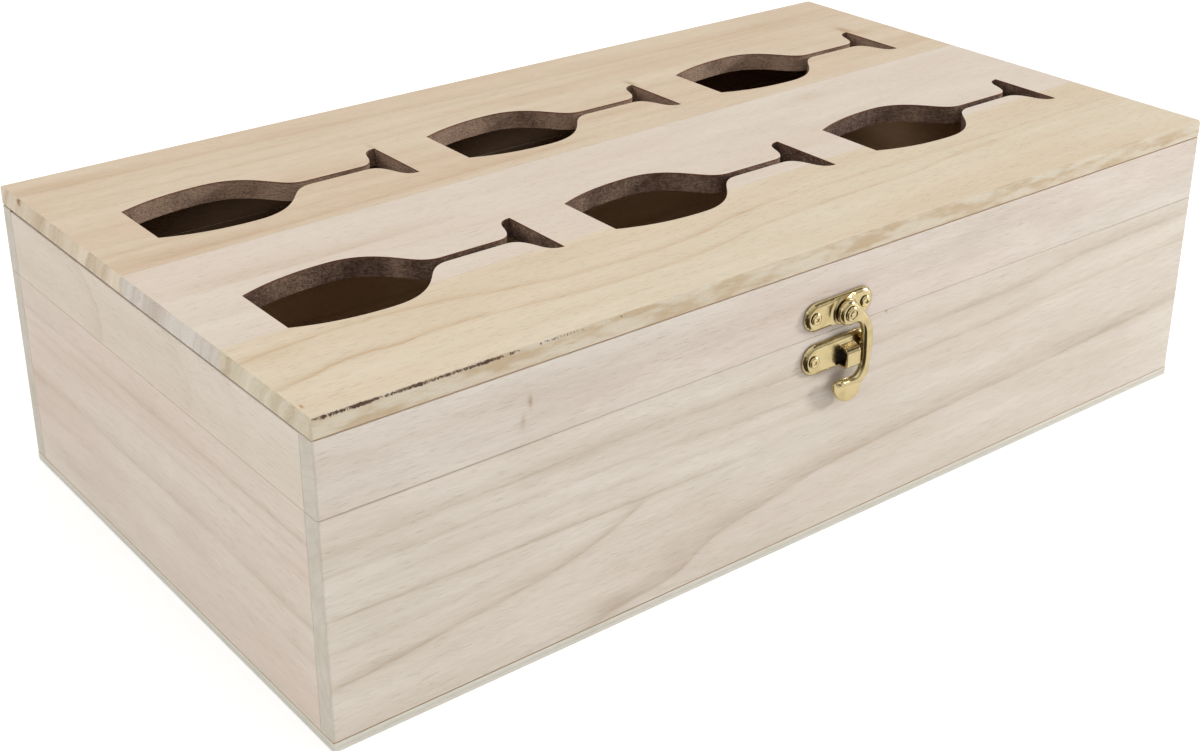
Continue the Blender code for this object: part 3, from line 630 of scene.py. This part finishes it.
BRASS = brass("brass", (0.52, 0.42, 0.225, 1.0), (0.40, 0.31, 0.145, 1.0), 0.18)
SCREW_BRASS = brass("screw_brass", (0.60, 0.49, 0.27, 1.0), (0.42, 0.32, 0.15, 1.0), 0.20)


# Meshes

def new_object(name, mesh, materials):
    obj = bpy.data.objects.new(name, mesh)
    bpy.context.scene.collection.objects.link(obj)
    for material in materials:
        mesh.materials.append(material)
    return obj


def stand_for(obj, node):
    """The piece is shown in place of a CAD node and rides on its body."""
    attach(obj, BODY_OF[node])
    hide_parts(node)
    return obj


def smooth(mesh, degrees=35):
    """Smooth shading over rounded arrises only: faces square to the frame keep their own flat shading."""
    mesh.shade_smooth()
    mesh.set_sharp_from_angle(angle=math.radians(degrees))
    for face in mesh.polygons:
        face.use_smooth = max(abs(part) for part in face.normal) < 0.9999


def bevel_edges(work, edges, width, segments, material=-1):
    return bmesh.ops.bevel(
        work, geom=edges, offset=width, segments=segments, profile=0.5, affect="EDGES",
        clamp_overlap=True, material=material)


# How far a board's arrises, and the case's own upright edges, are rounded
ARRIS, CORNER = 0.00022, 0.0007


def board(name, low, high, corners=()):
    """A board with softened arrises; the upright edges at the given (x, y) corners are rounded further."""
    work = bmesh.new()
    bmesh.ops.create_cube(work, size=1)
    middle, size = (low + high) / 2, high - low
    for vert in work.verts:
        vert.co = middle + Vector(a * b for a, b in zip(vert.co, size))
    upright = [
        edge for edge in work.edges
        if abs(edge.verts[0].co.z - edge.verts[1].co.z) > size.z / 2
        and any((edge.verts[0].co.xy - Vector(corner)).length < 0.001 for corner in corners)
    ]
    if upright:
        bevel_edges(work, upright, CORNER, 4)
    sharp = [edge for edge in work.edges if edge.calc_face_angle(0) > math.radians(60)]
    bevel_edges(work, sharp, ARRIS, 2)
    mesh = bpy.data.meshes.new(name)
    work.to_mesh(mesh)
    work.free()
    return mesh


def share_out(mesh, choose):
    """Gives each face the material slot that choose(face) names."""
    for face in mesh.polygons:
        face.material_index = choose(face)


# The case

# How far a wall grows up and down to leave a hairline at the seam, and endways to meet its neighbours
CLOSE, GLUED = 0.00012, 0.00028
# How far the left rail's top sinks below the panel at its rear end
SAG = 0.0004


def wall_piece(node, end_material):
    """One wall or rail: figured outside, end grain at its ends and warmer wood inside."""
    low, high = (corner.copy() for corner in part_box(node))
    wood, along = OUTSIDES[node]
    low.z -= CLOSE
    high.z += GLUED if node == "lid_front_rail" else CLOSE
    if along == "y":
        low.y -= GLUED
        high.y += GLUED
    corners = [(x, y) for x in (-HALF_LENGTH, HALF_LENGTH) for y in (-HALF_DEPTH, HALF_DEPTH)]
    mesh = board(node, low, high, corners if along == "x" else ())
    middle = (low + high) / 2
    if node == "lid_left_rail":
        for vert in mesh.vertices:
            if vert.co.z > middle.z:
                vert.co.z -= SAG * (0.5 + vert.co.y / (2 * HALF_DEPTH))
    axis = 0 if along == "x" else 1
    other = 1 - axis

    def choose(face):
        if abs(face.normal[axis]) > 0.7:
            return 1
        inward = -face.normal[other] * math.copysign(1, middle[other])
        return 2 if inward > 0.7 else 0

    share_out(mesh, choose)
    smooth(mesh, 50)
    outside = wall_wood(node + "_wood", wood, along)
    piece = new_object(node + "_board", mesh, [outside, end_material, INSIDE[along]])
    return stand_for(piece, node)


INSIDE = {"x": inside_wood("inside_wood_long", "x", 0.72), "y": inside_wood("inside_wood_short", "y")}
UNDERSIDE = inside_wood("inside_wood_flat", "x")
WALL_ENDS = end_grain(
    "wall_end_grain", tone(208, 201, 188, LEFT_LIGHT), tone(172, 159, 142, LEFT_LIGHT), (-118, 30), 3.4)


def base_floor():
    low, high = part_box("base_bottom")
    mesh = board("base_bottom", low, high)
    share_out(mesh, lambda face: 1 if face.normal.z > 0.7 else 0)
    smooth(mesh, 50)
    piece = new_object("base_bottom_ply", mesh, [plywood(), UNDERSIDE])
    return stand_for(piece, "base_bottom")


def welded_copy(node):
    """The CAD node's mesh as our own: its split corners joined and its flat faces whole again."""
    work = bmesh.new()
    work.from_mesh(NODES[node].data)
    bmesh.ops.remove_doubles(work, verts=work.verts, dist=0.0000005)
    bmesh.ops.recalc_face_normals(work, faces=work.faces)
    return work


def to_mesh(work, name):
    mesh = bpy.data.meshes.new(name)
    work.to_mesh(mesh)
    work.free()
    return mesh


# Anything upright this far in from the panel's edges is the wall of a cut
MARGIN_X, MARGIN_Y = 0.008, 0.006
# How far the rims of the cuts are eased
RIM = 0.00016


def lid_top():
    """The lid's panel, its cut edges eased, with charred cut walls, end grain and a plain underside."""
    work = welded_copy("lid_panel")
    bmesh.ops.dissolve_limit(
        work, angle_limit=math.radians(0.5), use_dissolve_boundaries=False,
        verts=work.verts, edges=work.edges)
    wood, ends, cuts, under = range(4)
    for face in work.faces:
        centre = face.calc_center_median()
        inside = abs(centre.x) < HALF_LENGTH - MARGIN_X and abs(centre.y) < HALF_DEPTH - MARGIN_Y
        if abs(face.normal.z) < 0.3 and inside:
            face.material_index = cuts
        elif abs(face.normal.x) > 0.7:
            face.material_index = ends
        elif face.normal.z < -0.7:
            face.material_index = under
        else:
            face.material_index = wood
    rims = [
        edge for edge in work.edges
        if {face.material_index for face in edge.link_faces} == {wood, cuts}
        and min(vert.co.z for vert in edge.verts) > TOP - 0.0005
    ]
    bevel_edges(work, rims, RIM, 2, cuts)
    mesh = to_mesh(work, "lid_top")
    smooth(mesh, 20)
    materials = [top_wood(), panel_end(), charred_wood("charred_cut", 1.0), UNDERSIDE]
    piece = new_object("lid_top_boards", mesh, materials)
    return stand_for(piece, "lid_panel")


# Brassware

def bake(obj):
    """Makes the mesh that an object's modifiers give its own."""
    graph = bpy.context.evaluated_depsgraph_get()
    mesh = bpy.data.meshes.new_from_object(obj.evaluated_get(graph))
    obj.modifiers.clear()
    obj.data = mesh


def brass_copy(node, degrees=40):
    mesh = to_mesh(welded_copy(node), node)
    smooth(mesh, degrees)
    return stand_for(new_object(node + "_brass", mesh, [BRASS]), node)


# The fineness of the even mesh that the latch is relaxed on
FINE = 0.00014


def relax(piece, softness):
    """Turns a hard-edged mesh into soft pressed brass: evenly meshed, then relaxed that many times."""
    remesh = piece.modifiers.new("even", "REMESH")
    remesh.mode = "VOXEL"
    remesh.voxel_size = FINE
    ease = piece.modifiers.new("ease", "SMOOTH")
    ease.factor = 0.5
    ease.iterations = softness
    bake(piece)
    piece.data.shade_smooth()
    return piece


def layer(node, depth, keep_outer):
    """What a CAD node has further out from the wall than that depth, or else what it has nearer."""
    work = welded_copy(node)
    bmesh.ops.bisect_plane(
        work, geom=[*work.verts, *work.edges, *work.faces], plane_co=(0, -HALF_DEPTH - depth, 0),
        plane_no=(0, -1, 0), clear_inner=keep_outer, clear_outer=not keep_outer)
    rim = [edge for edge in work.edges if edge.is_boundary]
    bmesh.ops.triangle_fill(work, use_beauty=True, edges=rim, normal=(0, -1, 0))
    bmesh.ops.recalc_face_normals(work, faces=work.faces)
    return new_object("hook_layer", to_mesh(work, node), [])


# The hook's arm stands above its thumb lobe from here out
LOBE_FACE = 0.00384
# How far the domed arm reaches back into the layer behind it
ARM_ROOT = 0.0007
# The back of the arm, as deep as this, is what reaches back
ARM_FOOT = 0.0002
# From the middle of the arm to its edge, and the share of its height that it keeps there
ARM_HALF_WIDTH, ARM_EDGE = 0.0013, 0.3
# A vertex whose normal has less than this share toward the wall is on the arm's outline
SIDEWAYS = 0.35
# How often each layer of the hook, and each plate, is relaxed
LOBE_SOFTNESS, ARM_SOFTNESS, PLATE_SOFTNESS = 9, 90, 12


def dome(mesh, front, half_width):
    """Rounds a flat bar's face: its full height `half_width` in from the outline, and low beside it."""
    back = max(vert.co.y for vert in mesh.vertices)
    old_front = min(vert.co.y for vert in mesh.vertices)
    outline = [vert for vert in mesh.vertices if abs(vert.normal.y) < SIDEWAYS]
    near = KDTree(len(outline))
    for number, vert in enumerate(outline):
        near.insert((vert.co.x, 0, vert.co.z), number)
    near.balance()
    for vert in mesh.vertices:
        reach = min(near.find((vert.co.x, 0, vert.co.z))[2] / half_width, 1)
        crown = math.sqrt(1 - (1 - reach) ** 2)
        height = (back - vert.co.y) / (back - old_front)
        vert.co.y = back + (front - back) * height * (ARM_EDGE + (1 - ARM_EDGE) * crown)


def hook_piece():
    """The hook: a flat layer with the thumb lobe, and in front of it the domed arm and curl, as one piece."""
    node = "latch_hook"
    behind = relax(layer(node, LOBE_FACE, False), LOBE_SOFTNESS)
    arm = relax(layer(node, LOBE_FACE, True), ARM_SOFTNESS)
    dome(arm.data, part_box(node)[0].y, ARM_HALF_WIDTH)
    for vert in arm.data.vertices:
        if vert.co.y > -HALF_DEPTH - LOBE_FACE - ARM_FOOT:
            vert.co.y += ARM_ROOT
    work = bmesh.new()
    for part in (behind, arm):
        work.from_mesh(part.data)
        bpy.data.objects.remove(part, do_unlink=True)
    mesh = to_mesh(work, node)
    mesh.shade_smooth()
    return stand_for(new_object(node + "_brass", mesh, [BRASS]), node)


def face_outward(mesh):
    work = bmesh.new()
    work.from_mesh(mesh)
    bmesh.ops.recalc_face_normals(work, faces=work.faces)
    work.to_mesh(mesh)
    work.free()
    return mesh


def lathe(profile, steps=40):
    """A turned mesh round Z from (radius, height) points, the first and last on the axis."""
    points, faces = [], []
    rings = []
    for radius, height in profile:
        if radius == 0:
            rings.append([len(points)])
            points.append((0, 0, height))
            continue
        rings.append(list(range(len(points), len(points) + steps)))
        for i in range(steps):
            turn = 2 * math.pi * i / steps
            points.append((radius * math.cos(turn), radius * math.sin(turn), height))
    for upper, lower in zip(rings, rings[1:]):
        for i in range(steps):
            j = (i + 1) % steps
            corners = [
                lower[i % len(lower)], lower[j % len(lower)], upper[j % len(upper)], upper[i % len(upper)]]
            faces.append(list(dict.fromkeys(corners)))
    mesh = bpy.data.meshes.new("lathe")
    mesh.from_pydata(points, [], faces)
    return face_outward(mesh)


def subtract(obj, cutter):
    """Cuts one mesh object from another for good, and removes the cutter."""
    change = obj.modifiers.new("cut", "BOOLEAN")
    change.operation = "DIFFERENCE"
    change.solver = "EXACT"
    change.object = cutter
    bake(obj)
    bpy.data.objects.remove(cutter, do_unlink=True)


def slot_cutter(reach, width, depth, top, turn):
    """One bar of a tapering Phillips cross, point down, below the height `top`."""
    points = [
        (x, y, height)
        for half, narrow, height in ((reach, width, top), (reach * 0.35, width * 0.6, top - depth))
        for x, y in ((-half, -narrow), (half, -narrow), (half, narrow), (-half, narrow))
    ]
    faces = [(3, 2, 1, 0), (4, 5, 6, 7)]
    faces += [(i, (i + 1) % 4, 4 + (i + 1) % 4, 4 + i) for i in range(4)]
    mesh = bpy.data.meshes.new("slot")
    mesh.from_pydata(points, [], faces)
    cutter = new_object("cutter", face_outward(mesh), [])
    cutter.rotation_euler = (0, 0, turn)
    bpy.context.view_layer.update()
    return cutter


# The screws' domed heads
DOME, BRIM, RECESS = 0.0005, 0.00012, 0.0004


def screw_piece(node, outward, turn):
    """A small domed cross-head screw in place of a CAD one: the same shank, head and reach."""
    low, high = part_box(node)
    centre = (low + high) / 2
    radius = (high.x - low.x) / 2
    crown, tip = sorted((abs(low.y) - HALF_DEPTH, abs(high.y) - HALF_DEPTH), reverse=True)
    brim = crown - DOME
    shank = radius * 0.55
    profile = [(0.0, crown)]
    profile += [
        (radius * math.sin(a), brim + DOME * math.cos(a))
        for a in (math.radians(angle) for angle in (15, 30, 45, 60, 75, 88))
    ]
    profile += [(radius, brim - BRIM), (shank, brim - 2 * BRIM), (shank * 0.9, tip + 0.0015), (0.0, tip)]
    head = new_object(node + "_screw", lathe(profile), [SCREW_BRASS])
    for quarter in (0, math.pi / 2):
        above = crown + 0.00002
        subtract(head, slot_cutter(radius * 0.5, radius * 0.13, RECESS, above, turn + quarter))
    smooth(head.data, 32)
    head.location = (centre.x, outward.y * HALF_DEPTH, centre.z)
    head.rotation_euler = outward.to_track_quat("Z", "Y").to_euler()
    return stand_for(head, node)


def rivet_piece():
    """The hook's rivet: a flattened dome with a turned ring groove, its shank and tail."""
    node = "latch_pivot_rivet"
    low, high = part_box(node)
    centre = (low + high) / 2
    radius = (high.x - low.x) / 2
    crown, tail = -low.y - HALF_DEPTH, -high.y - HALF_DEPTH
    seat = crown - 0.0006
    profile = [
        (0.0, crown), (radius * 0.25, crown - 0.00003), (radius * 0.44, crown - 0.00010),
        (radius * 0.52, crown - 0.00030), (radius * 0.60, crown - 0.00032), (radius * 0.68, crown - 0.00012),
        (radius * 0.80, crown - 0.00016), (radius * 0.93, crown - 0.00030), (radius, seat + 0.0001),
        (radius, seat), (radius * 0.5, seat), (radius * 0.5, tail), (0.0, tail),
    ]
    rivet = new_object(node + "_brass", lathe(profile, 48), [BRASS])
    smooth(rivet.data, 50)
    rivet.location = (centre.x, -HALF_DEPTH, centre.z)
    rivet.rotation_euler = Vector((0, -1, 0)).to_track_quat("Z", "Y").to_euler()
    return stand_for(rivet, node)


# How far the dark patch of painted shade behind the keeper's window reaches in from the keeper plate's ends,
# and how far it stands out of the wall
SHADE_PATCH_LEFT, SHADE_PATCH_RIGHT, SHADE_PATCH_BELOW, SHADE_PATCH_ABOVE = 0.009, 0.004, 0.0004, 0.0016
SHADE_PATCH_PROUD, SHADE_PATCH_DEEP = 0.00012, 0.0001


def keeper_shade_patch():
    """A dark block of painted shade behind the keeper's window, a hair proud of the wall, for the hollow
    under the strap.
    """
    low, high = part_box("latch_keeper_plate")
    near = Vector((low.x + SHADE_PATCH_LEFT, -HALF_DEPTH - SHADE_PATCH_PROUD, low.z + SHADE_PATCH_BELOW))
    far = Vector((high.x - SHADE_PATCH_RIGHT, -HALF_DEPTH + SHADE_PATCH_DEEP, high.z - SHADE_PATCH_ABOVE))
    # The patch is charred wood darkened to 0.4: painted shade for the hollow under the keeper's strap
    shade_patch = new_object("keeper_shade_patch", board("keeper_shade_patch", near, far), [charred_wood("keeper_painted_shade", 0.4)])
    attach(shade_patch, BODY_OF["latch_keeper_plate"])


def build_object():
    for node in OUTSIDES:
        wall_piece(node, WALL_ENDS)
    base_floor()
    lid_top()
    hook_piece()
    for node in ("latch_hook_plate", "latch_keeper_plate"):
        relax(brass_copy(node), PLATE_SOFTNESS)
    keeper_shade_patch()
    rivet_piece()
    for side in ("left", "right"):
        for part in ("base_leaf", "lid_leaf", "pin"):
            brass_copy(f"hinge_{side}_{part}", 50)
    screws = sorted(node for node in NODES if "_screw_" in node)
    for number, node in enumerate(screws):
        outward = Vector((0, -1, 0)) if node.startswith("latch") else Vector((0, 1, 0))
        screw_piece(node, outward, math.radians(25 + 47 * number))


# Studio

# How far the floor reaches each way, and the light of its own that keeps it white
FLOOR_REACH, FLOOR_GLOW = 6.0, 0.15


def flat_card(name, half_width, half_height):
    """A flat rectangle about its own middle, as a mesh."""
    mesh = bpy.data.meshes.new(name)
    corners = [(-1, -1), (1, -1), (1, 1), (-1, 1)]
    mesh.from_pydata([(x * half_width, y * half_height, 0) for x, y in corners], [], [(0, 1, 2, 3)])
    return mesh


def pale_floor():
    mesh = flat_card("floor", FLOOR_REACH, FLOOR_REACH)
    s = Surface("floor", 0.9)
    paper = s.noise(s.vector(s.x, s.y, s.z), 60, 3, 0.6)
    s.colour(s.mix(paper, (0.90, 0.90, 0.90, 1.0), (0.93, 0.93, 0.93, 1.0)))
    s.shader.inputs["Emission Color"].default_value = (1.0, 1.0, 1.0, 1.0)
    s.shader.inputs["Emission Strength"].default_value = FLOOR_GLOW
    floor = new_object("floor", mesh, [s.material])


def soft_box(name, place, target, size, power):
    """A rectangular lamp at a place, turned to face its target."""
    light = bpy.data.lights.new(name, "AREA")
    light.shape = "RECTANGLE"
    light.size, light.size_y = size
    light.energy = power
    obj = bpy.data.objects.new(name, light)
    bpy.context.scene.collection.objects.link(obj)
    obj.location = place
    obj.rotation_euler = (Vector(target) - Vector(place)).to_track_quat("-Z", "Y").to_euler()


def dark_card(name, place, target, size):
    """A dark flag that only reflections see, which gives the brass its deep tones."""
    mesh = flat_card(name, size[0] / 2, size[1] / 2)
    s = Surface(name, 0.9)
    clouds = s.noise(s.vector(s.x, s.y, s.z), 80, 2)
    s.colour(s.mix(clouds, (0.03, 0.02, 0.012, 1.0), (0.06, 0.04, 0.025, 1.0)))
    card = new_object(name, mesh, [s.material])
    card.location = place
    card.rotation_euler = (Vector(target) - Vector(place)).to_track_quat("Z", "Y").to_euler()
    card.visible_camera = card.visible_diffuse = card.visible_shadow = card.visible_transmission = False


# The sky's strength at the horizon and how much it gains up to the zenith
SKY_LOW, SKY_RISE = 0.25, 1.15


def sky():
    """A white sky that is brighter overhead."""
    world = bpy.data.worlds.new("studio")
    world.use_nodes = True
    tree = world.node_tree
    place = tree.nodes.new("ShaderNodeTexCoord")
    parts = tree.nodes.new("ShaderNodeSeparateXYZ")
    rise = tree.nodes.new("ShaderNodeMath")
    rise.operation = "MULTIPLY_ADD"
    rise.inputs[1].default_value = SKY_RISE
    rise.inputs[2].default_value = SKY_LOW
    tree.links.new(place.outputs["Generated"], parts.inputs[0])
    tree.links.new(parts.outputs["Z"], rise.inputs[0])
    tree.links.new(rise.outputs[0], tree.nodes["Background"].inputs["Strength"])
    tree.nodes["Background"].inputs["Color"].default_value = (1.0, 1.0, 1.0, 1.0)
    bpy.context.scene.world = world


def studio():
    """The sky, a key light from the right, a weak fill from the left, and what the brass reflects."""
    sky()
    latch = (0.0, -HALF_DEPTH, 0.07)
    soft_box("key", (1.91, -1.057, 0.576), latch, (0.34, 0.34), 38.0)
    soft_box("fill", (-1.29, 0.08, 0.75), (0.0, 0.0, 0.05), (0.6, 0.6), 4.8)
    dark_card("card_left", (-0.70, -0.75, 0.05), latch, (0.7, 0.5))
    dark_card("card_high", (0.62, -0.62, 0.80), latch, (0.6, 0.5))
    dark_card("card_floor", (-0.34, -0.50, 0.002), (-0.34, -0.50, 1.0), (0.70, 0.74))
    pale_floor()


# The camera stands off the left end of the front, turned to its right and tipped down
CAMERA_PLACE = (-0.3632, -0.4474, 0.3117)
CAMERA_TURN, CAMERA_DIP = math.radians(37.92), math.radians(24.41)
LENS, SENSOR = 54.32, 36.0
SHIFT_X, SHIFT_Y = 0.0042, -0.0733


def camera():
    data = bpy.data.cameras.new("camera")
    data.lens, data.sensor_width = LENS, SENSOR
    data.shift_x, data.shift_y = SHIFT_X, SHIFT_Y
    data.clip_start = 0.01
    obj = bpy.data.objects.new("camera", data)
    bpy.context.scene.collection.objects.link(obj)
    forward = Vector((
        math.sin(CAMERA_TURN) * math.cos(CAMERA_DIP),
        math.cos(CAMERA_TURN) * math.cos(CAMERA_DIP),
        -math.sin(CAMERA_DIP),
    ))
    obj.location = CAMERA_PLACE
    obj.rotation_euler = forward.to_track_quat("-Z", "Y").to_euler()
    bpy.context.scene.camera = obj
    bpy.context.scene.view_settings.view_transform = "Standard"


build_object()
studio()
camera()
